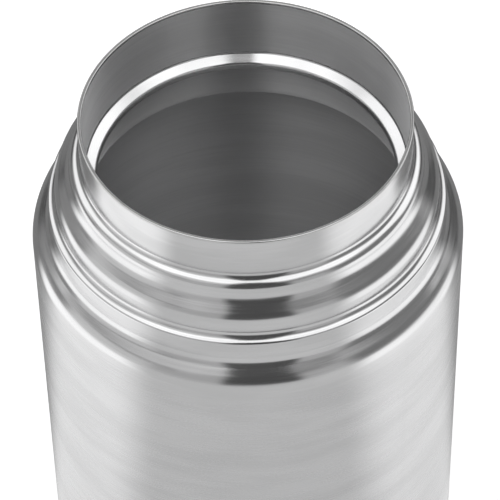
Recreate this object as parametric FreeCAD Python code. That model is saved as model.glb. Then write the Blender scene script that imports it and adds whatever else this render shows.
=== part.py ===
"""Vacuum-insulated wide-mouth food jar, shown open: a bare steel double-walled body with a stepped
neck for an overcap and a rolled seat inside the mouth for a stopper.

Millimetres, +Z up. The origin is the middle of the jar's footprint, on the surface it stands on.
Every piece is turned about Z, apart from the getter, its cup and its clip.
"""
import FreeCAD
import Part

import math
import os

# Overall sizes
JAR_HEIGHT = 190.0
BODY_RADIUS = 54.0
RIM_RADIUS = 40.8

# Sheet and gaps
SHELL_SHEET = 0.5
LINER_SHEET = 0.4
NECK_GAP = 0.1
LINER_GAP = 4.4

# Rim
RIM_WELD_HEIGHT = 0.6
RIM_WELD_CURVE = 0.3

# Outer neck: straight walls between four outward steps, from the rim down
NECK_WALL = 10.3
LEDGE_RADIUS = 43.5
LEDGE_COVE = 1.6
LEDGE_EDGE = 2.1
LEDGE_ANGLE = 70.0
RELIEF_WALL = 0.3
THREAD_RADIUS = 47.5
FLARE_COVE = 4.3
FLARE_EDGE = 3.9
FLARE_ANGLE = 47.0
THREAD_WALL = 2.5
STOP_RADIUS = 49.5
STOP_COVE = 1.8
STOP_EDGE = 0.7
STOP_ANGLE = 74.0
STOP_WALL = 4.7
SHOULDER_COVE = 3.3
SHOULDER_EDGE = 5.3
SHOULDER_ANGLE = 51.0

# Stopper seat and neck of the liner
SEAT_DEPTH = 17.4
THROAT_RADIUS = 37.0
SEAT_COVE = 0.6
SEAT_EDGE = 1.0
SEAT_ANGLE = 62.0
THROAT_LENGTH = 0.6
LOWER_NECK_RADIUS = 40.1
LOWER_NECK_WALL = 7.0
LINER_SHOULDER_CURVE = 5.5
LINER_SHOULDER_ANGLE = 58.0

# Liner base
LINER_BASE_CLEARANCE = 9.5
LINER_BASE_CURVE = 9.0
LINER_SKIRT = 4.0
LINER_FLOOR_ANGLE = 4.0

# Welds, all narrow rings as thick as the sheet
WELD_WIDTH = 0.8

# Outer base
BASE_SKIRT = 5.0
BASE_CURVE = 4.5
BASE_LAND = 1.6
RECESS_DEPTH = 3.0
RECESS_CURVE = 1.2
RECESS_SLOPE = 80.0
FOOT_LIFT = 0.8
SEAL_POCKET_RADIUS = 4.5
SEAL_POCKET_DEPTH = 2.2
SEAL_POCKET_CURVE = 0.7
PORT_RADIUS = 1.0

# Pieces under the base
SEAL_CLEARANCE = 0.1
SEAL_THICKNESS = 1.1
COVER_SHEET = 0.5
COVER_CLEARANCE = 0.3
TAPE_THICKNESS = 0.5
TAPE_WIDTH = 9.0
PAD_WIDTH = 8.4
PAD_EDGE_CLEARANCE = 2.5
PAD_CURVE = 0.5

# Pieces in the vacuum
FOIL_THICKNESS = 0.15
FOIL_GAP = 0.15
FOIL_END_MARGIN = 6.0
GETTER_RADIUS = 6.0
GETTER_THICKNESS = 2.2
GETTER_OFFSET = 20.0
CUP_SHEET = 0.3
CUP_GAP = 0.1
CLIP_SHEET = 0.4
CLIP_WIDTH = 5.0
CLIP_FOOT = 5.0

# Levels and radii that follow from the sizes above
SHEET_TOP = JAR_HEIGHT - RIM_WELD_HEIGHT
NECK_BORE_RADIUS = RIM_RADIUS - SHELL_SHEET - NECK_GAP - LINER_SHEET
LINER_RADIUS = BODY_RADIUS - SHELL_SHEET - LINER_GAP - LINER_SHEET
BASE_TOP = FOOT_LIFT + BASE_CURVE + BASE_SKIRT
SHELL_BOTTOM = BASE_TOP + WELD_WIDTH


class Profile:
    """One face of a pressed sheet, followed from the rim down.

    The heading is the angle of the tangent from straight down: positive runs outward.
    The normal at each point lies square to the heading, away from the jar's axis.
    """

    def __init__(self, radius, z, heading=0.0):
        self.radius = radius
        self.z = z
        self.heading = heading
        self.runs = []

    def at(self):
        return (self.radius, self.z, self.heading)

    def line(self, length):
        if length <= 1e-6:
            return self
        start = self.at()
        a = math.radians(self.heading)
        self.radius += length * math.sin(a)
        self.z -= length * math.cos(a)
        self.runs.append((start, self.at()))
        return self

    def turn(self, curve, heading):
        """An arc of radius curve that ends at the new heading."""
        sign = 1.0 if heading > self.heading else -1.0
        a = math.radians(self.heading)
        centre_r = self.radius + sign * curve * math.cos(a)
        centre_z = self.z + sign * curve * math.sin(a)
        start = self.at()
        middle = self.on_arc(centre_r, centre_z, curve, sign, (self.heading + heading) / 2)
        end = self.on_arc(centre_r, centre_z, curve, sign, heading)
        self.radius, self.z, self.heading = end
        self.runs.append((start, middle, end))
        return self

    @staticmethod
    def on_arc(centre_r, centre_z, curve, sign, heading):
        a = math.radians(heading)
        return (centre_r - sign * curve * math.cos(a), centre_z - sign * curve * math.sin(a), heading)

    def step_to(self, radius, first_curve, second_curve, angle):
        """Leave the wall, cross to another radius on a straight slope and run down again.

        Where the step is too small for both curves, they shrink together and meet.
        """
        a = math.radians(angle)
        step = abs(radius - self.radius)
        share = min(1.0, step / ((first_curve + second_curve) * (1 - math.cos(a))))
        across = step - share * (first_curve + second_curve) * (1 - math.cos(a))
        side = 1.0 if radius > self.radius else -1.0
        self.turn(share * first_curve, side * angle)
        self.line(across / math.sin(a))
        self.turn(share * second_curve, 0.0)
        return self

    def down_to(self, z):
        return self.line(self.z - z)

    def in_to(self, radius):
        """Straight on along the heading to a smaller radius."""
        return self.line((radius - self.radius) / math.sin(math.radians(self.heading)))


def moved(point, away):
    """A point of a profile moved along its normal, away from the jar's axis."""
    radius, z, heading = point
    a = math.radians(heading)
    return FreeCAD.Vector(radius + away * math.cos(a), 0, z + away * math.sin(a))


def side_edges(profile, away):
    edges = []
    for run in profile.runs:
        points = [moved(point, away) for point in run]
        if len(points) == 2:
            edges.append(Part.LineSegment(points[0], points[1]).toShape())
        else:
            edges.append(Part.Arc(points[0], points[1], points[2]).toShape())
    return edges


def spun(edges):
    """The solid that a closed outline in the XZ plane sweeps about Z."""
    face = Part.Face(Part.Wire(edges))
    solid = face.revolve(FreeCAD.Vector(0, 0, 0), FreeCAD.Vector(0, 0, 1), 360)
    if solid.Volume < 0:
        solid.reverse()
    return solid


def sheet(profile, away):
    """Sheet metal between a profile and the same profile moved by its thickness."""
    near = side_edges(profile, 0.0)
    far = side_edges(profile, away)
    first = profile.runs[0][0]
    last = profile.runs[-1][-1]
    ends = [
        Part.LineSegment(moved(last, 0.0), moved(last, away)).toShape(),
        Part.LineSegment(moved(first, away), moved(first, 0.0)).toShape(),
    ]
    return spun(near + [ends[0]] + far[::-1] + [ends[1]])


def ring(inner, outer, low, high):
    outline = [(inner, low), (outer, low), (outer, high), (inner, high), (inner, low)]
    points = [FreeCAD.Vector(r, 0, z) for r, z in outline]
    return spun([Part.LineSegment(a, b).toShape() for a, b in zip(points, points[1:])])


def disc(radius, low, high):
    return Part.makeCylinder(radius, high - low, FreeCAD.Vector(0, 0, low))


def shell_profile():
    p = Profile(RIM_RADIUS, SHEET_TOP)
    p.line(NECK_WALL)
    p.step_to(LEDGE_RADIUS, LEDGE_COVE, LEDGE_EDGE, LEDGE_ANGLE)
    p.line(RELIEF_WALL)
    p.step_to(THREAD_RADIUS, FLARE_COVE, FLARE_EDGE, FLARE_ANGLE)
    p.line(THREAD_WALL)
    p.step_to(STOP_RADIUS, STOP_COVE, STOP_EDGE, STOP_ANGLE)
    p.line(STOP_WALL)
    p.step_to(BODY_RADIUS, SHOULDER_COVE, SHOULDER_EDGE, SHOULDER_ANGLE)
    return p.down_to(SHELL_BOTTOM)


def liner_profile(bottom):
    p = Profile(NECK_BORE_RADIUS, SHEET_TOP)
    p.down_to(JAR_HEIGHT - SEAT_DEPTH)
    p.step_to(THROAT_RADIUS, SEAT_COVE, SEAT_EDGE, SEAT_ANGLE)
    p.line(THROAT_LENGTH)
    p.step_to(LOWER_NECK_RADIUS, SEAT_EDGE, SEAT_COVE, SEAT_ANGLE)
    p.line(LOWER_NECK_WALL)
    p.step_to(LINER_RADIUS, LINER_SHOULDER_CURVE, LINER_SHOULDER_CURVE, LINER_SHOULDER_ANGLE)
    return p.down_to(bottom)


def recess_floor():
    """Level of the outer base's recessed floor, on its underside."""
    return FOOT_LIFT + RECESS_DEPTH


def outer_base():
    p = Profile(BODY_RADIUS, BASE_TOP)
    p.line(BASE_SKIRT)
    p.turn(BASE_CURVE, -90.0)
    p.line(BASE_LAND)
    p.turn(RECESS_CURVE + SHELL_SHEET, -90.0 - RECESS_SLOPE)
    a = math.radians(RECESS_SLOPE)
    curves = (RECESS_CURVE + SHELL_SHEET + RECESS_CURVE) * (1 - math.cos(a))
    p.line((RECESS_DEPTH - curves) / math.sin(a))
    p.turn(RECESS_CURVE, -90.0)
    p.in_to(SEAL_POCKET_RADIUS + 2 * SEAL_POCKET_CURVE + SHELL_SHEET)
    p.turn(SEAL_POCKET_CURVE + SHELL_SHEET, -180.0)
    p.line(SEAL_POCKET_DEPTH - 2 * SEAL_POCKET_CURVE - SHELL_SHEET)
    p.turn(SEAL_POCKET_CURVE, -90.0)
    p.in_to(PORT_RADIUS)
    return sheet(p, -SHELL_SHEET)


def recess_wall_radius():
    """Radius of the recess's opening, where its wall meets the floor curve."""
    a = math.radians(RECESS_SLOPE)
    run = (RECESS_CURVE + SHELL_SHEET + RECESS_CURVE) * math.sin(a)
    curves = (RECESS_CURVE + SHELL_SHEET + RECESS_CURVE) * (1 - math.cos(a))
    slope = (RECESS_DEPTH - curves) / math.tan(a)
    return BODY_RADIUS - BASE_CURVE - BASE_LAND - run - slope


def liner_base_bottom():
    """Level of the middle of the liner base, on its inner face."""
    return recess_floor() + SHELL_SHEET + LINER_BASE_CLEARANCE + LINER_SHEET


def liner_base_profile():
    """Inner face of the liner base: skirt, corner and a floor that falls gently to the middle."""
    a = math.radians(90.0 - LINER_FLOOR_ANGLE)
    corner_drop = LINER_BASE_CURVE * math.sin(a)
    corner_run = LINER_BASE_CURVE * (1 - math.cos(a))
    floor_drop = (LINER_RADIUS - corner_run) * math.tan(math.radians(LINER_FLOOR_ANGLE))
    p = Profile(LINER_RADIUS, liner_base_bottom() + floor_drop + corner_drop + LINER_SKIRT)
    p.line(LINER_SKIRT)
    p.turn(LINER_BASE_CURVE, LINER_FLOOR_ANGLE - 90.0)
    return p


def liner_base():
    p = liner_base_profile()
    near = side_edges(p, 0.0)
    far = side_edges(p, LINER_SHEET)
    first = p.runs[0][0]
    last = p.at()
    slope = math.tan(math.radians(LINER_FLOOR_ANGLE))
    low = moved(last, LINER_SHEET)
    middle_in = FreeCAD.Vector(0, 0, last[1] - last[0] * slope)
    middle_out = FreeCAD.Vector(0, 0, low.z - low.x * slope)
    floor = [
        Part.LineSegment(moved(last, 0.0), middle_in).toShape(),
        Part.LineSegment(middle_in, middle_out).toShape(),
        Part.LineSegment(middle_out, low).toShape(),
    ]
    top = Part.LineSegment(moved(first, LINER_SHEET), moved(first, 0.0)).toShape()
    return spun(near + floor + far[::-1] + [top])


def rim_weld():
    """A bead over the two sheet edges, rounded over at both sides."""
    inner = NECK_BORE_RADIUS
    outer = RIM_RADIUS
    low = SHEET_TOP
    high = JAR_HEIGHT
    c = RIM_WELD_CURVE
    k = c * (1 - math.sqrt(0.5))
    corners = [
        (inner, low), (inner, high - c), (inner + k, high - k), (inner + c, high),
        (outer - c, high), (outer - k, high - k), (outer, high - c), (outer, low),
    ]
    p = [FreeCAD.Vector(radius, 0, z) for radius, z in corners]
    return spun([
        Part.LineSegment(p[0], p[1]).toShape(),
        Part.Arc(p[1], p[2], p[3]).toShape(),
        Part.LineSegment(p[3], p[4]).toShape(),
        Part.Arc(p[4], p[5], p[6]).toShape(),
        Part.LineSegment(p[6], p[7]).toShape(),
        Part.LineSegment(p[7], p[0]).toShape(),
    ])


def sheet_weld(face_radius, away, low):
    """A flush weld ring as thick as the sheet that it joins."""
    inner, outer = sorted((face_radius, face_radius + away))
    return ring(inner, outer, low, low + WELD_WIDTH)


def foil_wrap(low, high):
    inner = LINER_RADIUS + LINER_SHEET + FOIL_GAP
    return ring(inner, inner + FOIL_THICKNESS, low, high)


def foil_disc():
    """The foil under the liner base, a cone that follows the sloping floor."""
    p = liner_base_profile()
    outer = p.at()[0] - LINER_BASE_CURVE / 2
    slope = math.tan(math.radians(LINER_FLOOR_ANGLE))
    drop = LINER_SHEET + FOIL_GAP
    level = liner_base_bottom() - drop
    outline = [
        (0, level),
        (outer, level + outer * slope),
        (outer, level + outer * slope - FOIL_THICKNESS),
        (0, level - FOIL_THICKNESS),
        (0, level),
    ]
    points = [FreeCAD.Vector(r, 0, z) for r, z in outline]
    return spun([Part.LineSegment(a, b).toShape() for a, b in zip(points, points[1:])])


def to_getter(shape):
    shape.translate(FreeCAD.Vector(GETTER_OFFSET, 0, recess_floor() + SHELL_SHEET))
    return shape


def getter():
    return to_getter(disc(GETTER_RADIUS, CUP_SHEET, CUP_SHEET + GETTER_THICKNESS))


def getter_cup():
    """A shallow pressed cup that the getter tablet lies in."""
    inner = GETTER_RADIUS + CUP_GAP
    outer = inner + CUP_SHEET
    cup = disc(outer, 0, CUP_SHEET + GETTER_THICKNESS)
    return to_getter(cup.cut(disc(inner, CUP_SHEET, 2 * GETTER_THICKNESS)))


def getter_clip():
    """A strap over the cup, with a foot spot-welded to the base on each side."""
    half = GETTER_RADIUS + CUP_GAP + CUP_SHEET + CUP_GAP
    height = CUP_SHEET + GETTER_THICKNESS
    outline = [
        (-half - CLIP_FOOT, 0),
        (-half, 0),
        (-half, height),
        (half, height),
        (half, 0),
        (half + CLIP_FOOT, 0),
        (half + CLIP_FOOT, CLIP_SHEET),
        (half + CLIP_SHEET, CLIP_SHEET),
        (half + CLIP_SHEET, height + CLIP_SHEET),
        (-half - CLIP_SHEET, height + CLIP_SHEET),
        (-half - CLIP_SHEET, CLIP_SHEET),
        (-half - CLIP_FOOT, CLIP_SHEET),
        (-half - CLIP_FOOT, 0),
    ]
    points = [FreeCAD.Vector(-CLIP_WIDTH / 2, y, z) for y, z in outline]
    return to_getter(Part.Face(Part.makePolygon(points)).extrude(FreeCAD.Vector(CLIP_WIDTH, 0, 0)))


def seal_plug():
    """The glass bead that closes the evacuation port, in the pocket under the base."""
    top = recess_floor() + SEAL_POCKET_DEPTH
    return disc(SEAL_POCKET_RADIUS - SEAL_CLEARANCE, top - SEAL_THICKNESS, top)


def cover_level():
    """Underside of the base cover."""
    return recess_floor() - TAPE_THICKNESS - COVER_SHEET


def cover_radius():
    return recess_wall_radius() - COVER_CLEARANCE


def base_cover():
    return disc(cover_radius(), cover_level(), cover_level() + COVER_SHEET)


def cover_tape():
    """A ring of foam tape that holds the cover to the recessed floor."""
    outer = cover_radius() - RECESS_CURVE
    return ring(outer - TAPE_WIDTH, outer, cover_level() + COVER_SHEET, recess_floor())


def foot_pad():
    """A soft ring stuck under the cover. The jar stands on it."""
    outer = cover_radius() - PAD_EDGE_CLEARANCE
    pad = ring(outer - PAD_WIDTH, outer, 0.0, cover_level())
    low_edges = [edge for edge in pad.Edges if edge.BoundBox.ZMax < 1e-6 and edge.BoundBox.XLength > 1.0]
    return pad.makeFillet(PAD_CURVE, low_edges)


def make_nodes():
    base_profile = liner_base_profile()
    liner_seam = base_profile.runs[0][0][1]
    liner_bottom = liner_seam + WELD_WIDTH
    liner = liner_profile(liner_bottom)
    foil_top = liner.runs[-1][0][1] - FOIL_END_MARGIN
    return {
        "outer_shell": sheet(shell_profile(), -SHELL_SHEET),
        "outer_base": outer_base(),
        "liner_wall": sheet(liner, LINER_SHEET),
        "liner_base": liner_base(),
        "rim_weld": rim_weld(),
        "outer_base_weld": sheet_weld(BODY_RADIUS, -SHELL_SHEET, BASE_TOP),
        "liner_base_weld": sheet_weld(LINER_RADIUS, LINER_SHEET, liner_seam),
        "foil_wrap": foil_wrap(liner_bottom + FOIL_END_MARGIN, foil_top),
        "foil_disc": foil_disc(),
        "getter": getter(),
        "getter_cup": getter_cup(),
        "getter_clip": getter_clip(),
        "seal_plug": seal_plug(),
        "cover_tape": cover_tape(),
        "base_cover": base_cover(),
        "foot_pad": foot_pad(),
    }


def main():
    os.makedirs("parts", exist_ok=True)
    for name, solid in make_nodes().items():
        box = solid.BoundBox
        print(
            name, solid.isValid(), len(solid.Solids), round(solid.Volume / 1000, 3), "cm3",
            "r", round(box.XMax, 2), "z", round(box.ZMin, 2), round(box.ZMax, 2),
        )
        solid.exportStep("parts/" + name + ".step")


main()
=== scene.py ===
# %% [markdown]
# # An open vacuum food jar in bare steel
#
# This lesson dresses a finished CAD model of a steel food jar. The CAD pieces already have the right
# sizes, so nothing here moves or resizes them. What is left is the look: brushed and polished steel,
# which is nearly all reflection. So most of the work is in two places, the finish of the metal and the
# studio that the metal mirrors.

# %% Load the frame
import math

import bpy
from mathutils import Matrix, Vector


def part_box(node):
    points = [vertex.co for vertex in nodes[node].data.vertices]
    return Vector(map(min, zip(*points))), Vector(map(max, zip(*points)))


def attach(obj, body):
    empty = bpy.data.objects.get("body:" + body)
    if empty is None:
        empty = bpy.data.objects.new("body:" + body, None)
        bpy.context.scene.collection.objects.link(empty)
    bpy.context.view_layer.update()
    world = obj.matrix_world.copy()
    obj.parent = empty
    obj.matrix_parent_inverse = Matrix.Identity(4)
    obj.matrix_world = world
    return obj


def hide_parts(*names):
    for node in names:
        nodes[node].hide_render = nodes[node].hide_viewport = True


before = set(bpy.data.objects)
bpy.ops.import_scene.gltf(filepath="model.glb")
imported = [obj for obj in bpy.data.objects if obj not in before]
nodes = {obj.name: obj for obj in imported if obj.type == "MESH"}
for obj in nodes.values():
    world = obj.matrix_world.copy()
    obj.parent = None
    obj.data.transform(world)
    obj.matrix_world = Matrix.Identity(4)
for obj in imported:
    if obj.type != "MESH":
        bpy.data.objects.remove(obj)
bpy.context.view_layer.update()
print("pieces:", sorted(nodes))

# %% [markdown]
# Sizes that the finishes need, such as the level of the rim and the radius of the neck, are read from the
# frame, so they follow the CAD model.

# %% Sizes read from the frame
MM = 0.001
JAR_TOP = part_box("rim_weld")[1].z
RIM_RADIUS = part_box("rim_weld")[1].x
BODY_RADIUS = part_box("outer_shell")[1].x
for label, size in (("top", JAR_TOP), ("rim radius", RIM_RADIUS), ("body radius", BODY_RADIUS)):
    print(label, round(size / MM, 1), "mm")

# %% [markdown]
# ## The camera
#
# The reference was taken with a long lens from about 48 degrees above the table. A long lens keeps the
# sides of the jar nearly parallel. The camera could be aimed with a tracking constraint, but a matrix made
# from its three axes is exact and also takes the small roll of the reference.

# %% Camera
# The sensor is in millimetres, the roll in radians, and the distances are in metres.
FRAME_PIXELS = 500
FOCAL_PIXELS = 3144.5
SENSOR_WIDTH = 36.0
CAMERA_PITCH = math.radians(48.48)
CAMERA_ROLL = -0.0205
CAMERA_DISTANCE = 0.796
AIM_SIDE = 0.00042
AIM_BELOW_TOP = 0.0486
CLIP_END = 10


def make_camera():
    ahead = Vector((0, math.cos(CAMERA_PITCH), -math.sin(CAMERA_PITCH)))
    side = Vector((1, 0, 0))
    down = ahead.cross(side)
    right = math.cos(CAMERA_ROLL) * side - math.sin(CAMERA_ROLL) * down
    up = -(math.sin(CAMERA_ROLL) * side + math.cos(CAMERA_ROLL) * down)
    data = bpy.data.cameras.new("camera")
    data.sensor_width = SENSOR_WIDTH
    data.lens = FOCAL_PIXELS / FRAME_PIXELS * SENSOR_WIDTH
    data.clip_end = CLIP_END
    camera = bpy.data.objects.new("camera", data)
    bpy.context.scene.collection.objects.link(camera)
    place = Vector((AIM_SIDE, 0, JAR_TOP - AIM_BELOW_TOP)) - ahead * CAMERA_DISTANCE
    axes = Matrix((right, up, -ahead)).transposed().to_4x4()
    camera.matrix_world = Matrix.Translation(place) @ axes
    bpy.context.scene.camera = camera
    return camera


camera = make_camera()
print("lens", round(camera.data.lens, 1), "mm, at", [round(v, 3) for v in camera.location])

# %% [markdown]
# ## A lathe for sheet metal
#
# A jar like this is spun and pressed from round sheet, so its walls are profiles turned about the axis. The
# CAD mesh has the right shape, but polished steel shows each flat facet of a tight bend as a tooth in its
# reflections. A Screw modifier would turn a profile too, but it guesses the shading normals from the faces.
# Here the profile is walked as a maker would bend it, straight, bend, straight, so the exact normal of each
# point is known and given to the mesh.

# %% Walk a profile
ARC_STEP = math.radians(5)
SHORTEST_LINE = 1e-9


class Walk:
    """One face of a sheet, as points with a radius, a height and a heading.

    Heading 0 is straight down, and a positive one runs outward.
    """

    def __init__(self, radius, z, degrees=0):
        self.radius = radius
        self.z = z
        self.heading = math.radians(degrees)
        self.points = [(radius, z, self.heading)]

    def line(self, length):
        if length > SHORTEST_LINE:
            self.radius += length * math.sin(self.heading)
            self.z -= length * math.cos(self.heading)
            self.points.append((self.radius, self.z, self.heading))

    def down_to(self, z):
        self.line(self.z - z)

    def turn(self, curve, degrees):
        """Bend with a radius of curve until the heading is reached."""
        goal = math.radians(degrees)
        steps = max(1, math.ceil(abs(goal - self.heading) / ARC_STEP))
        side = 1 if goal > self.heading else -1
        centre_r = self.radius + side * curve * math.cos(self.heading)
        centre_z = self.z + side * curve * math.sin(self.heading)
        start = self.heading
        for i in range(1, steps + 1):
            self.heading = start + (goal - start) * i / steps
            self.radius = centre_r - side * curve * math.cos(self.heading)
            self.z = centre_z - side * curve * math.sin(self.heading)
            self.points.append((self.radius, self.z, self.heading))

    def step(self, wall, radius, first_curve, second_curve, degrees):
        """Run down the wall, bend off it, cross on a straight slope and bend back to run down again."""
        self.line(wall * MM)
        slope = math.radians(degrees)
        side = 1 if radius * MM > self.radius else -1
        bends = (first_curve + second_curve) * MM * (1 - math.cos(slope))
        across = abs(radius * MM - self.radius) - bends
        self.turn(first_curve * MM, side * degrees)
        self.line(across / math.sin(slope))
        self.turn(second_curve * MM, 0)


print("a full bend of 90 degrees takes", round(math.radians(90) / ARC_STEP), "steps")

# %% [markdown]
# A sheet has two faces and two cut edges. The walked face is copied along its own normals by the sheet's
# thickness, which gives the other face, and the cut edges join the two into one closed outline. The outline
# is a list of segments, and each end of a segment has its own normal, so that a cut edge stays crisp.

# %% Outline of a sheet
def face_of(walk, away, side):
    """Segments of one face. Away moves it along its normal, and side 1 faces away from the axis."""
    rows = []
    for radius, z, heading in walk.points:
        normal = (math.cos(heading), math.sin(heading))
        place = (radius + away * normal[0], z + away * normal[1])
        rows.append((place, (side * normal[0], side * normal[1])))
    return [(a[0], a[1], b[0], b[1]) for a, b in zip(rows, rows[1:])]


def cap(start, end, normal):
    return [(start, normal, end, normal)]


def back(segments):
    """The same segments, walked the other way."""
    return [(c, d, a, b) for a, b, c, d in reversed(segments)]


def sheet_outline(walk, thickness):
    """The closed outline of a sheet. Thickness is negative where the sheet lies towards the axis."""
    side = 1 if thickness < 0 else -1
    near = face_of(walk, 0.0, side)
    far = back(face_of(walk, thickness, -side))
    low = cap(near[-1][2], far[0][0], (0.0, -1.0))
    high = cap(far[-1][2], near[0][0], (0.0, 1.0))
    return near + low + far + high


# %% [markdown]
# Turning the outline about Z gives four corners to each face. Many facets keep the edge of the jar round,
# and the normal that each corner is given keeps the shading smooth between them.

# %% Turn an outline into a mesh
FACETS = 288
ANGLES = [2 * math.pi * i / FACETS for i in range(FACETS)]


def about_axis(point, angle):
    """A radius and a height, placed at an angle about Z. Angle 0 is the camera's side."""
    return (point[0] * math.sin(angle), -point[0] * math.cos(angle), point[1])


def lathe(name, outline, replaced, turn_over=False):
    """Spin a closed outline about Z and give each face corner its exact normal.

    Turn over is for an outline that runs the other way round, as that of a sheet walked on its inside does.
    """
    verts = [about_axis(place, angle) for place, _, _, _ in outline for angle in ANGLES]
    faces = []
    normals = []
    for row, (_, first, _, second) in enumerate(outline):
        below = (row + 1) % len(outline)
        for i in range(FACETS):
            j = (i + 1) % FACETS
            corners = [(row, i, first), (below, i, second), (below, j, second), (row, j, first)]
            if turn_over:
                corners.reverse()
            faces.append([r * FACETS + k for r, k, _ in corners])
            normals.extend(about_axis(normal, ANGLES[k]) for _, k, normal in corners)
    mesh = bpy.data.meshes.new(name)
    mesh.from_pydata(verts, [], faces)
    mesh.polygons.foreach_set("use_smooth", [True] * len(faces))
    mesh.normals_split_custom_set(normals)
    piece = bpy.data.objects.new(name, mesh)
    bpy.context.scene.collection.objects.link(piece)
    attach(piece, "root")
    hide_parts(replaced)
    print(name, len(faces), "faces")
    return piece


# %% [markdown]
# ## The outer shell
#
# The neck is one drawn sheet with four outward steps: the ledge where the overcap stops, the flare below it,
# the stop ring and the shoulder. Each step bends off the wall, crosses on a slope and bends back. The sizes
# are the pressed sheet's own, and the top, the rim and the body come from the frame.

# %% Outer shell
SHELL_SHEET = 0.5 * MM
LINER_SHEET = 0.4 * MM
WELD_HEIGHT = 0.6 * MM
WELD_CURVE = 0.3 * MM
SHEET_TOP = JAR_TOP - WELD_HEIGHT
SHELL_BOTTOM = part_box("outer_shell")[0].z

# Each step: the straight wall above it, its new radius, its first and second curve, in millimetres, and its
# slope in degrees.
LEDGE = (10.3, 43.5, 1.6, 2.1, 70)
FLARE = (0.3, 47.5, 4.3, 3.9, 47)
STOP_RING = (2.5, 49.5, 1.8, 0.7, 74)
SHOULDER = (4.7, BODY_RADIUS / MM, 3.3, 5.3, 51)


def make_outer_shell():
    walk = Walk(RIM_RADIUS, SHEET_TOP)
    for sizes in (LEDGE, FLARE, STOP_RING, SHOULDER):
        walk.step(*sizes)
    walk.down_to(SHELL_BOTTOM)
    outline = sheet_outline(walk, -SHELL_SHEET)
    return lathe("outer_shell_turned", outline, "outer_shell")


outer_shell = make_outer_shell()

# %% [markdown]
# ## The liner
#
# The pot inside is a second sheet. Its mouth is straight, then a rolled bead narrows it: the stopper's seal
# sits on that bead, which is why it is polished brighter than the rest. Below it a short lower neck opens
# into the pot.

# %% Liner wall
NECK_GAP = 0.1 * MM
BORE_RADIUS = RIM_RADIUS - SHELL_SHEET - NECK_GAP - LINER_SHEET
LINER_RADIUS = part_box("liner_wall")[1].x - LINER_SHEET
LINER_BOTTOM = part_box("liner_wall")[0].z
SEAT_LEVEL = JAR_TOP - 17.4 * MM
SEAT = (0.0, 37.0, 0.6, 1.0, 62)
LOWER_NECK = (0.6, 40.1, 1.0, 0.6, 62)
POT_SHOULDER = (7.0, LINER_RADIUS / MM, 5.5, 5.5, 58)


def make_liner_wall():
    walk = Walk(BORE_RADIUS, SHEET_TOP)
    walk.down_to(SEAT_LEVEL)
    for sizes in (SEAT, LOWER_NECK, POT_SHOULDER):
        walk.step(*sizes)
    walk.down_to(LINER_BOTTOM)
    outline = sheet_outline(walk, LINER_SHEET)
    return lathe("liner_wall_turned", outline, "liner_wall", turn_over=True)


liner_wall = make_liner_wall()

# %% [markdown]
# ## The rim weld
#
# The two sheets meet at the lip, and a weld is melted over both cut edges and polished to a low bead. A
# torus could stand for it, but the bead is flat on top, so its outline is walked like the others: over the
# outer edge and down, then up the inner edge and over.

# %% Rim weld
def make_rim_weld():
    over = Walk(RIM_RADIUS - WELD_CURVE, JAR_TOP, degrees=90)
    over.turn(WELD_CURVE, 0)
    over.down_to(SHEET_TOP)
    outside = face_of(over, 0.0, 1)
    into = Walk(BORE_RADIUS, SHEET_TOP, degrees=180)
    into.line(WELD_HEIGHT - WELD_CURVE)
    into.turn(WELD_CURVE, 90)
    inside = face_of(into, 0.0, 1)
    low = cap(outside[-1][2], inside[0][0], (0.0, -1.0))
    high = cap(inside[-1][2], outside[0][0], (0.0, 1.0))
    return lathe("rim_weld_turned", outside + low + inside + high, "rim_weld")


rim_weld = make_rim_weld()

# %% [markdown]
# ## Small helpers for node trees
#
# Every finish below is a node tree. Short helpers keep the cells readable: they add a node and fill its
# sockets, do a sum, map a range, blend two values, and start a material with its Principled shader.

# %% Node helpers
def add(tree, kind, **values):
    """A node of a kind. Values with a socket's name fill that socket, others are properties."""
    node = tree.nodes.new(kind)
    for name, value in values.items():
        match = [s for s in node.inputs if s.name.lower() == name.replace("_", " ").lower()]
        if match:
            match[0].default_value = value
        else:
            setattr(node, name, value)
    return node


def feed(tree, socket, value):
    """Fill a socket with a number, or link it to another socket."""
    if isinstance(value, bpy.types.NodeSocket):
        tree.links.new(value, socket)
    else:
        socket.default_value = value


def sum_of(tree, operation, *values):
    """The result of one sum on numbers or sockets."""
    node = add(tree, "ShaderNodeMath", operation=operation)
    for socket, value in zip(node.inputs, values):
        feed(tree, socket, value)
    return node.outputs[0]


def ramp(tree, value, low, high, start=0.0, end=1.0, kind="SMOOTHSTEP"):
    """A value mapped from low..high to start..end, held at both ends."""
    node = add(tree, "ShaderNodeMapRange", interpolation_type=kind)
    sockets = ("Value", "From Min", "From Max", "To Min", "To Max")
    for name, number in zip(sockets, (value, low, high, start, end)):
        feed(tree, node.inputs[name], number)
    return node.outputs[0]


def blend(tree, share, first, second, kind="FLOAT"):
    """First where the share is 0 and second where it is 1, as numbers or as colours."""
    node = add(tree, "ShaderNodeMix", data_type=kind)
    live = [s for s in node.inputs if s.enabled]
    for socket, value in zip(live, (share, first, second)):
        feed(tree, socket, value)
    return [s for s in node.outputs if s.enabled][0]


def grey(tree, value):
    """A number as a colour."""
    node = add(tree, "ShaderNodeCombineColor")
    for socket in node.inputs:
        feed(tree, socket, value)
    return node.outputs[0]


def new_group(name, inputs, outputs):
    """A shader node group with named number inputs and outputs."""
    group = bpy.data.node_groups.new(name, "ShaderNodeTree")
    for label, value in inputs:
        kind = "NodeSocketVector" if isinstance(value, tuple) else "NodeSocketFloat"
        socket = group.interface.new_socket(label, in_out="INPUT", socket_type=kind)
        socket.default_value = value
    for label in outputs:
        group.interface.new_socket(label, in_out="OUTPUT", socket_type="NodeSocketFloat")
    return group, group.nodes.new("NodeGroupInput").outputs, group.nodes.new("NodeGroupOutput").inputs


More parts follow.
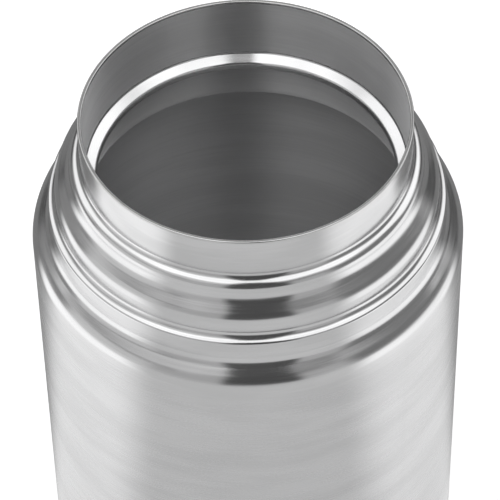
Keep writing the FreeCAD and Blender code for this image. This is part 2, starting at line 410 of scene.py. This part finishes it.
def start_material(name):
    material = bpy.data.materials.new(name)
    material.use_nodes = True
    tree = material.node_tree
    tree.nodes.clear()
    shader = tree.nodes.new("ShaderNodeBsdfPrincipled")
    out = tree.nodes.new("ShaderNodeOutputMaterial")
    tree.links.new(shader.outputs["BSDF"], out.inputs["Surface"])
    return material, tree, shader


def paint(material, *pieces):
    """Give a material to pieces, each an object of this script or the name of a CAD node."""
    for piece in pieces:
        mesh = nodes[piece].data if isinstance(piece, str) else piece.data
        mesh.materials.clear()
        mesh.materials.append(material)
        mesh.polygons.foreach_set("material_index", [0] * len(mesh.polygons))
    print(material.name, "on", [piece if isinstance(piece, str) else piece.name for piece in pieces])


# %% [markdown]
# ## Brush lines
#
# A turned and brushed pot carries fine lines that all run round its axis. The lines could be an image, but
# a noise that is stretched round the axis needs no image and has no seam: each point is turned into its
# height along the metal and its direction from the axis, and the noise is sampled there. A little of the
# direction is left in, so each line fades and starts again as real scratches do. Spinning also leaves slow
# ripples a few millimetres wide, too shallow to feel, which a mirror finish still shows.

# %% Brush line group
RIPPLES_PER_METRE = 260
PATCH_STRETCH = (0.5, 0.5, 0.06)


def brush_group():
    inputs = [("Fineness", 3000.0), ("Length", 4.0), ("Seed", 0.0)]
    group, take, give = new_group("brush_lines", inputs, ["Lines", "Patches", "Ripples"])
    place = add(group, "ShaderNodeTexCoord").outputs["Object"]
    flat = add(group, "ShaderNodeVectorMath", operation="MULTIPLY")
    flat.inputs[1].default_value = (1, 1, 0)
    feed(group, flat.inputs[0], place)
    radius = add(group, "ShaderNodeVectorMath", operation="LENGTH")
    feed(group, radius.inputs[0], flat.outputs[0])
    unit = add(group, "ShaderNodeVectorMath", operation="NORMALIZE")
    feed(group, unit.inputs[0], flat.outputs[0])
    parts = add(group, "ShaderNodeSeparateXYZ")
    feed(group, parts.inputs[0], place)
    level = sum_of(group, "SUBTRACT", parts.outputs["Z"], radius.outputs["Value"])
    fine = sum_of(group, "MULTIPLY", level, take["Fineness"])
    around = add(group, "ShaderNodeVectorMath", operation="SCALE")
    feed(group, around.inputs[0], unit.outputs[0])
    feed(group, around.inputs["Scale"], take["Length"])
    height = add(group, "ShaderNodeCombineXYZ")
    feed(group, height.inputs["Z"], fine)
    sample = add(group, "ShaderNodeVectorMath", operation="ADD")
    feed(group, sample.inputs[0], around.outputs[0])
    feed(group, sample.inputs[1], height.outputs[0])
    shift = add(group, "ShaderNodeVectorMath", operation="ADD")
    feed(group, shift.inputs[0], sample.outputs[0])
    feed(group, shift.inputs[1], take["Seed"])
    lines = add(group, "ShaderNodeTexNoise", scale=1.0, detail=3.0, roughness=0.7)
    feed(group, lines.inputs["Vector"], shift.outputs[0])
    feed(group, give["Lines"], lines.outputs["Fac"])
    slow = add(group, "ShaderNodeVectorMath", operation="MULTIPLY")
    slow.inputs[1].default_value = PATCH_STRETCH
    feed(group, slow.inputs[0], shift.outputs[0])
    patches = add(group, "ShaderNodeTexNoise", scale=1.0, detail=2.0)
    feed(group, patches.inputs["Vector"], slow.outputs[0])
    feed(group, give["Patches"], patches.outputs["Fac"])
    wave = add(group, "ShaderNodeCombineXYZ")
    feed(group, wave.inputs["Z"], sum_of(group, "MULTIPLY", level, RIPPLES_PER_METRE))
    drift = add(group, "ShaderNodeVectorMath", operation="ADD")
    feed(group, drift.inputs[0], wave.outputs[0])
    feed(group, drift.inputs[1], unit.outputs[0])
    ripples = add(group, "ShaderNodeTexNoise", scale=1.0, detail=1.0)
    feed(group, ripples.inputs["Vector"], drift.outputs[0])
    feed(group, give["Ripples"], ripples.outputs["Fac"])
    return group


brush_lines = brush_group()
print("group", brush_lines.name, [s.name for s in brush_lines.interface.items_tree])

# %% [markdown]
# ## Steel
#
# Polished or brushed, the metal is one shader with different numbers. The Principled shader's Anisotropic
# value stretches a highlight across the brush lines: a radial tangent about Z runs along the lines, and a
# quarter turn of Anisotropic Rotation puts the stretch across them. The line noise moves the roughness and
# tips the normal by a hair, which breaks the mirror up. One sheet can be polished at the neck and brushed on
# the body, so the roughness is also given by height.

# %% Roughness by height
def by_height(tree, stops):
    """A value that runs smoothly through stops, each a height and the value there, from the lowest up."""
    parts = add(tree, "ShaderNodeSeparateXYZ")
    feed(tree, parts.inputs[0], add(tree, "ShaderNodeTexCoord").outputs["Object"])
    total = stops[0][1]
    for (low, before), (high, after) in zip(stops, stops[1:]):
        if after != before:
            rise = ramp(tree, parts.outputs["Z"], low, high, 0.0, after - before)
            total = sum_of(tree, "ADD", rise, total)
    return total


# %% Steel
# Nearly all of a noise lies between these two values.
NOISE_LOW = 0.3
NOISE_HIGH = 0.7
ROUGHNESS_SPREAD = 0.03
TINT_DARK = 0.95
TINT_LIGHT = 1.05
LINES_IN_CLOUDS = 0.6
CLOUD_LOW = 0.6
CLOUD_HIGH = 1.0
QUARTER_TURN = 0.25


def steel(name, colour, stops, anisotropy, fineness, length, relief, waves, seed):
    """A steel finish. Stops give the roughness by height, relief the depth of the lines and waves that of
    the ripples.
    """
    material, tree, shader = start_material(name)
    shader.inputs["Metallic"].default_value = 1.0
    shader.inputs["Anisotropic"].default_value = anisotropy
    shader.inputs["Anisotropic Rotation"].default_value = QUARTER_TURN
    tangent = add(tree, "ShaderNodeTangent", direction_type="RADIAL", axis="Z")
    feed(tree, shader.inputs["Tangent"], tangent.outputs[0])
    lines = add(tree, "ShaderNodeGroup", node_tree=brush_lines)
    lines.inputs["Fineness"].default_value = fineness
    lines.inputs["Length"].default_value = length
    lines.inputs["Seed"].default_value = seed
    spread = (-ROUGHNESS_SPREAD, ROUGHNESS_SPREAD)
    move = ramp(tree, lines.outputs["Lines"], NOISE_LOW, NOISE_HIGH, *spread, "LINEAR")
    feed(tree, shader.inputs["Roughness"], sum_of(tree, "ADD", by_height(tree, stops), move))
    fine = sum_of(tree, "MULTIPLY", lines.outputs["Lines"], LINES_IN_CLOUDS)
    clouds = ramp(tree, sum_of(tree, "ADD", lines.outputs["Patches"], fine), CLOUD_LOW, CLOUD_HIGH)
    dark = [c * TINT_DARK for c in colour] + [1]
    light = [c * TINT_LIGHT for c in colour] + [1]
    feed(tree, shader.inputs["Base Color"], blend(tree, clouds, dark, light, "RGBA"))
    ripple = add(tree, "ShaderNodeBump")
    ripple.inputs["Distance"].default_value = waves
    feed(tree, ripple.inputs["Height"], lines.outputs["Ripples"])
    bump = add(tree, "ShaderNodeBump")
    bump.inputs["Distance"].default_value = relief
    feed(tree, bump.inputs["Height"], lines.outputs["Lines"])
    feed(tree, bump.inputs["Normal"], ripple.outputs[0])
    feed(tree, shader.inputs["Normal"], bump.outputs[0])
    return material


# %% [markdown]
# The body is brushed, the neck is polished, and the change falls on the shoulder. Inside, the seat is
# polished for the seal and everything else is left rough from spinning, the pot most of all. The weld has
# the same polish all round.

# %% Where each finish starts and ends
# Each stop: a height and the roughness there.
BODY_FINISH = (JAR_TOP - 44 * MM, 0.26)
NECK_FINISH = (JAR_TOP - 38 * MM, 0.16)
POT_FINISH = (JAR_TOP - 34 * MM, 0.62)
LOWER_NECK_FINISH = (JAR_TOP - 29 * MM, 0.5)
BELOW_SEAT_FINISH = (SEAT_LEVEL - 4.6 * MM, 0.5)
SEAT_FINISH = (SEAT_LEVEL - 4.0 * MM, 0.15)
SEAT_TOP_FINISH = (SEAT_LEVEL - 0.2 * MM, 0.15)
BORE_FINISH = (SEAT_LEVEL + 0.4 * MM, 0.4)
WELD_FINISH = (0.0, 0.16)
OUTER_STOPS = [BODY_FINISH, NECK_FINISH]
LINER_STOPS = [POT_FINISH, LOWER_NECK_FINISH, BELOW_SEAT_FINISH, SEAT_FINISH, SEAT_TOP_FINISH, BORE_FINISH]
print("polish starts", round((JAR_TOP - BODY_FINISH[0]) / MM), "mm below the top")

# %% Steel finishes
outer_steel = steel(
    "outer_steel", colour=(0.75, 0.75, 0.755), stops=OUTER_STOPS, anisotropy=0.8,
    fineness=2000, length=3.0, relief=0.006 * MM, waves=0.08 * MM, seed=0.0,
)
liner_steel = steel(
    "liner_steel", colour=(0.82, 0.82, 0.825), stops=LINER_STOPS, anisotropy=1.0,
    fineness=1500, length=2.0, relief=0.008 * MM, waves=0.04 * MM, seed=7.0,
)
weld_steel = steel(
    "weld_steel", colour=(0.7, 0.7, 0.7), stops=[WELD_FINISH], anisotropy=0.3,
    fineness=2000, length=20.0, relief=0.003 * MM, waves=0.02 * MM, seed=3.0,
)
paint(outer_steel, outer_shell, "outer_base", "base_cover")
paint(liner_steel, liner_wall, "liner_base")
paint(weld_steel, rim_weld, "outer_base_weld", "liner_base_weld", "getter_cup", "getter_clip")

# %% [markdown]
# ## Foil, getter, glass, tape and foot
#
# The hidden pieces are dressed too, since a cutaway shows them. Foil is wrapped by hand, so it creases: the
# ridges of a Voronoi pattern give straight, sharp folds where a noise would give soft lumps. The getter is
# pressed from powder, the tape is an open foam, and the foot is moulded silicone with a fine grain.

# %% Grain group
CREASE_WIDTH = 0.25


def grain_group():
    """A crease pattern and a grain, both sampled in space so that they need no layout."""
    group, take, give = new_group("grain", [("Size", 0.001)], ["Creases", "Grain"])
    place = add(group, "ShaderNodeTexCoord").outputs["Object"]
    often = sum_of(group, "DIVIDE", 1.0, take["Size"])
    creases = add(group, "ShaderNodeTexVoronoi", feature="DISTANCE_TO_EDGE")
    noise = add(group, "ShaderNodeTexNoise", detail=4.0, roughness=0.6)
    for node in (creases, noise):
        feed(group, node.inputs["Vector"], place)
        feed(group, node.inputs["Scale"], often)
    feed(group, give["Creases"], ramp(group, creases.outputs["Distance"], 0.0, CREASE_WIDTH, kind="LINEAR"))
    feed(group, give["Grain"], noise.outputs["Fac"])
    return group


grain = grain_group()
print("group", grain.name, [s.name for s in grain.interface.items_tree])

# %% [markdown]
# Each of these finishes is one Principled shader. The grain moves its colour and its roughness a little, and
# either the grain or the creases give it relief.

# %% Plain finishes
SMOOTHEST_SHARE = 0.85


def plain(name, dark, light, roughness, size, relief, metallic=0.0, pattern="Grain", coat=0.0, sheen=0.0):
    """A finish whose grain has a size, and whose colour runs between dark and light."""
    material, tree, shader = start_material(name)
    for socket, value in (("Metallic", metallic), ("Coat Weight", coat), ("Sheen Weight", sheen)):
        shader.inputs[socket].default_value = value
    marks = add(tree, "ShaderNodeGroup", node_tree=grain)
    marks.inputs["Size"].default_value = size
    shade = ramp(tree, marks.outputs["Grain"], NOISE_LOW, NOISE_HIGH)
    feed(tree, shader.inputs["Base Color"], blend(tree, shade, (*dark, 1), (*light, 1), "RGBA"))
    smoothest = roughness * SMOOTHEST_SHARE
    rough = ramp(tree, marks.outputs["Grain"], NOISE_LOW, NOISE_HIGH, smoothest, roughness)
    feed(tree, shader.inputs["Roughness"], rough)
    bump = add(tree, "ShaderNodeBump")
    bump.inputs["Distance"].default_value = relief
    feed(tree, bump.inputs["Height"], marks.outputs[pattern])
    feed(tree, shader.inputs["Normal"], bump.outputs[0])
    return material


copper_foil = plain(
    "copper_foil", dark=(0.78, 0.4, 0.25), light=(0.93, 0.55, 0.38), roughness=0.25,
    size=6 * MM, relief=0.12 * MM, metallic=1.0, pattern="Creases",
)
getter_powder = plain(
    "getter_powder", dark=(0.06, 0.06, 0.065), light=(0.14, 0.14, 0.15), roughness=0.85,
    size=0.4 * MM, relief=0.06 * MM, metallic=0.7,
)
sealing_glass = plain(
    "sealing_glass", dark=(0.012, 0.02, 0.03), light=(0.03, 0.04, 0.05), roughness=0.08,
    size=2 * MM, relief=0.01 * MM, coat=0.5,
)
foam_tape = plain(
    "foam_tape", dark=(0.05, 0.05, 0.05), light=(0.11, 0.11, 0.11), roughness=0.95,
    size=0.5 * MM, relief=0.1 * MM,
)
silicone = plain(
    "silicone", dark=(0.1, 0.1, 0.105), light=(0.125, 0.125, 0.13), roughness=0.6,
    size=0.5 * MM, relief=0.02 * MM, sheen=0.1,
)
paint(copper_foil, "foil_wrap", "foil_disc")
paint(getter_powder, "getter")
paint(sealing_glass, "seal_plug")
paint(foam_tape, "cover_tape")
paint(silicone, "foot_pad")

# %% [markdown]
# ## The studio
#
# Steel has hardly any colour of its own. What shows is the room: a white table that is brightest on both
# sides, low softboxes beside it, one overhead, dimmer walls behind, and the dark camera in front. Real cards
# could stand round the jar, but they would show in other views. So the room is written as brightness by
# direction, seen from the neck: the world uses it above as its light, and below it is painted on the table
# as a glow that only reflections see, with painted pools of light, painted softboxes and painted shade
# behind.

# %% Room brightness by direction
HALF_TURN = 180.0

# Each panel: azimuth, its half width, elevation, its half height, soft edge, all in degrees, and brightness.
# Azimuth 0 is the camera's side and 90 is to the right. A later panel covers an earlier one.
# Panels below the horizon are painted on the table as a glow that only reflections see: painted pools of
# light on both sides, painted softboxes and painted shade behind the jar.
PANELS = {
    "painted_pool_left": (-90, 32, -60, 30, 13, 0.92),
    "painted_pool_right": (93, 36, -60, 30, 15, 0.9),
    "painted_softbox_left": (-84, 32, -20, 18, 9, 1.2),
    "painted_softbox_right": (80, 30, -20, 18, 9, 1.15),
    "wall_behind": (180, 66, -13, 31, 8, 0.08),
    "painted_shade_behind": (180, 62, -67, 23, 12, 0.22),
    "front_wall": (5, 55, 25, 22, 8, 0.46),
    "left_wall": (-72, 24, 22, 24, 6, 0.66),
    "right_wall": (80, 32, 22, 22, 6, 0.2),
    "left_corner": (-112, 18, 10, 12, 6, 0.25),
    "overhead": (0, 400, 90, 35, 5, 1.4),
    "ceiling_behind": (180, 76, 55, 30, 5, 1.25),
    "ceiling_front": (0, 62, 57, 8, 5, 0.7),
    "ceiling_middle": (180, 28, 46, 14, 8, 0.35),
    "front_left": (-58, 34, 48, 8, 6, 0.64),
    "front_right_gap": (34, 16, 46, 8, 7, 0.22),
    "gap_left": (-75, 38, 33, 3, 4, 0.2),
    "camera_stand": (5, 18, 42, 40, 3, 0.08),
}
TABLE_LEVEL = 0.6


def room_group():
    group, take, give = new_group("room_light", [("Direction", (0.0, 0.0, 1.0))], ["Brightness"])
    unit = add(group, "ShaderNodeVectorMath", operation="NORMALIZE")
    feed(group, unit.inputs[0], take["Direction"])
    parts = add(group, "ShaderNodeSeparateXYZ")
    feed(group, parts.inputs[0], unit.outputs[0])
    front = sum_of(group, "MULTIPLY", parts.outputs["Y"], -1.0)
    azimuth = sum_of(group, "DEGREES", sum_of(group, "ARCTAN2", parts.outputs["X"], front))
    elevation = sum_of(group, "DEGREES", sum_of(group, "ARCSINE", parts.outputs["Z"]))
    total = TABLE_LEVEL
    for side, half_width, height, half_height, soft, level in PANELS.values():
        turn = sum_of(group, "WRAP", sum_of(group, "SUBTRACT", azimuth, side), -HALF_TURN, HALF_TURN)
        across = sum_of(group, "ABSOLUTE", turn)
        wide = ramp(group, across, half_width - soft, half_width + soft, 1.0, 0.0)
        lift = sum_of(group, "ABSOLUTE", sum_of(group, "SUBTRACT", elevation, height))
        tall = ramp(group, lift, half_height - soft, half_height + soft, 1.0, 0.0)
        total = blend(group, sum_of(group, "MULTIPLY", wide, tall), total, level)
    feed(group, give["Brightness"], total)
    return group


room_light = room_group()
print("room panels:", ", ".join(PANELS))

# %% [markdown]
# The world shows the room to every ray but the camera's own. Those see plain white, so the background stays
# white and no extra light falls on the jar.

# %% World
def make_world():
    world = bpy.data.worlds.new("studio")
    bpy.context.scene.world = world
    world.use_nodes = True
    tree = world.node_tree
    tree.nodes.clear()
    room = add(tree, "ShaderNodeGroup", node_tree=room_light)
    feed(tree, room.inputs["Direction"], add(tree, "ShaderNodeTexCoord").outputs["Generated"])
    seen = add(tree, "ShaderNodeLightPath").outputs["Is Camera Ray"]
    light = add(tree, "ShaderNodeBackground", strength=1.0)
    feed(tree, light.inputs["Color"], grey(tree, blend(tree, seen, room.outputs["Brightness"], 1.0)))
    out = tree.nodes.new("ShaderNodeOutputWorld")
    tree.links.new(light.outputs[0], out.inputs["Surface"])
    return world


print("world", make_world().name)

# %% [markdown]
# ## Floor
#
# The table is white. To the camera it is as bright as the background, apart from the jar's soft shadow: the
# light that falls on it gives about half of that, and a glow for camera rays gives the rest. Reflections see
# painted light on the table: a glow from the room group paints pools of light on both sides, the softboxes
# and shade behind, less the share that the light on it already gives. The floor lies a hair below the foot,
# so the two never share a plane.

# %% Floor
NECK_POINT = (0, 0, JAR_TOP - 30 * MM)
FLOOR_REACH = 2.5
FLOOR_LEVEL = -0.02 * MM
CAMERA_GLOW = 0.55
DIFFUSE_SHARE = 0.2
SEEN_WHITE = 0.8
MIRRORED_WHITE = 0.3


def make_floor():
    mesh = bpy.data.meshes.new("floor")
    square = [(-1, -1), (1, -1), (1, 1), (-1, 1)]
    corners = [(x * FLOOR_REACH, y * FLOOR_REACH, FLOOR_LEVEL) for x, y in square]
    mesh.from_pydata(corners, [], [(0, 1, 2, 3)])
    floor = bpy.data.objects.new("floor", mesh)
    bpy.context.scene.collection.objects.link(floor)
    material, tree, shader = start_material("floor")
    shader.inputs["Roughness"].default_value = 1.0
    shader.inputs["Specular IOR Level"].default_value = 0.0
    path = add(tree, "ShaderNodeLightPath")
    mirrored = sum_of(tree, "MAXIMUM", path.outputs["Is Glossy Ray"], path.outputs["Is Transmission Ray"])
    away = add(tree, "ShaderNodeVectorMath", operation="SUBTRACT")
    feed(tree, away.inputs[0], add(tree, "ShaderNodeNewGeometry").outputs["Position"])
    away.inputs[1].default_value = NECK_POINT
    room = add(tree, "ShaderNodeGroup", node_tree=room_light)
    feed(tree, room.inputs["Direction"], away.outputs[0])
    # Painted light that only reflections see: pools of light on the table, the softboxes and shade behind
    # the jar.
    rest = sum_of(tree, "SUBTRACT", room.outputs["Brightness"], DIFFUSE_SHARE)
    painted_table_light = sum_of(tree, "MULTIPLY", mirrored, sum_of(tree, "MAXIMUM", rest, 0.0))
    camera_glow = sum_of(tree, "MULTIPLY", path.outputs["Is Camera Ray"], CAMERA_GLOW)
    feed(tree, shader.inputs["Emission Color"], grey(tree, sum_of(tree, "ADD", painted_table_light, camera_glow)))
    shader.inputs["Emission Strength"].default_value = 1.0
    white = ramp(tree, mirrored, 0.0, 1.0, SEEN_WHITE, MIRRORED_WHITE, "LINEAR")
    feed(tree, shader.inputs["Base Color"], grey(tree, white))
    mesh.materials.append(material)
    return floor


print("floor", round(2 * FLOOR_REACH, 1), "m across:", make_floor().name)

# %% [markdown]
# ## View settings and mirror bounces
#
# A polished pot mirrors itself many times over. Four mirror bounces, the default, leave the inside black, so
# more are allowed. The Standard view keeps each colour as it is written.

# %% View settings and bounces
MIRROR_BOUNCES = 12
bpy.context.scene.view_settings.view_transform = "Standard"
bpy.context.scene.cycles.glossy_bounces = MIRROR_BOUNCES
print("mirror bounces", MIRROR_BOUNCES)
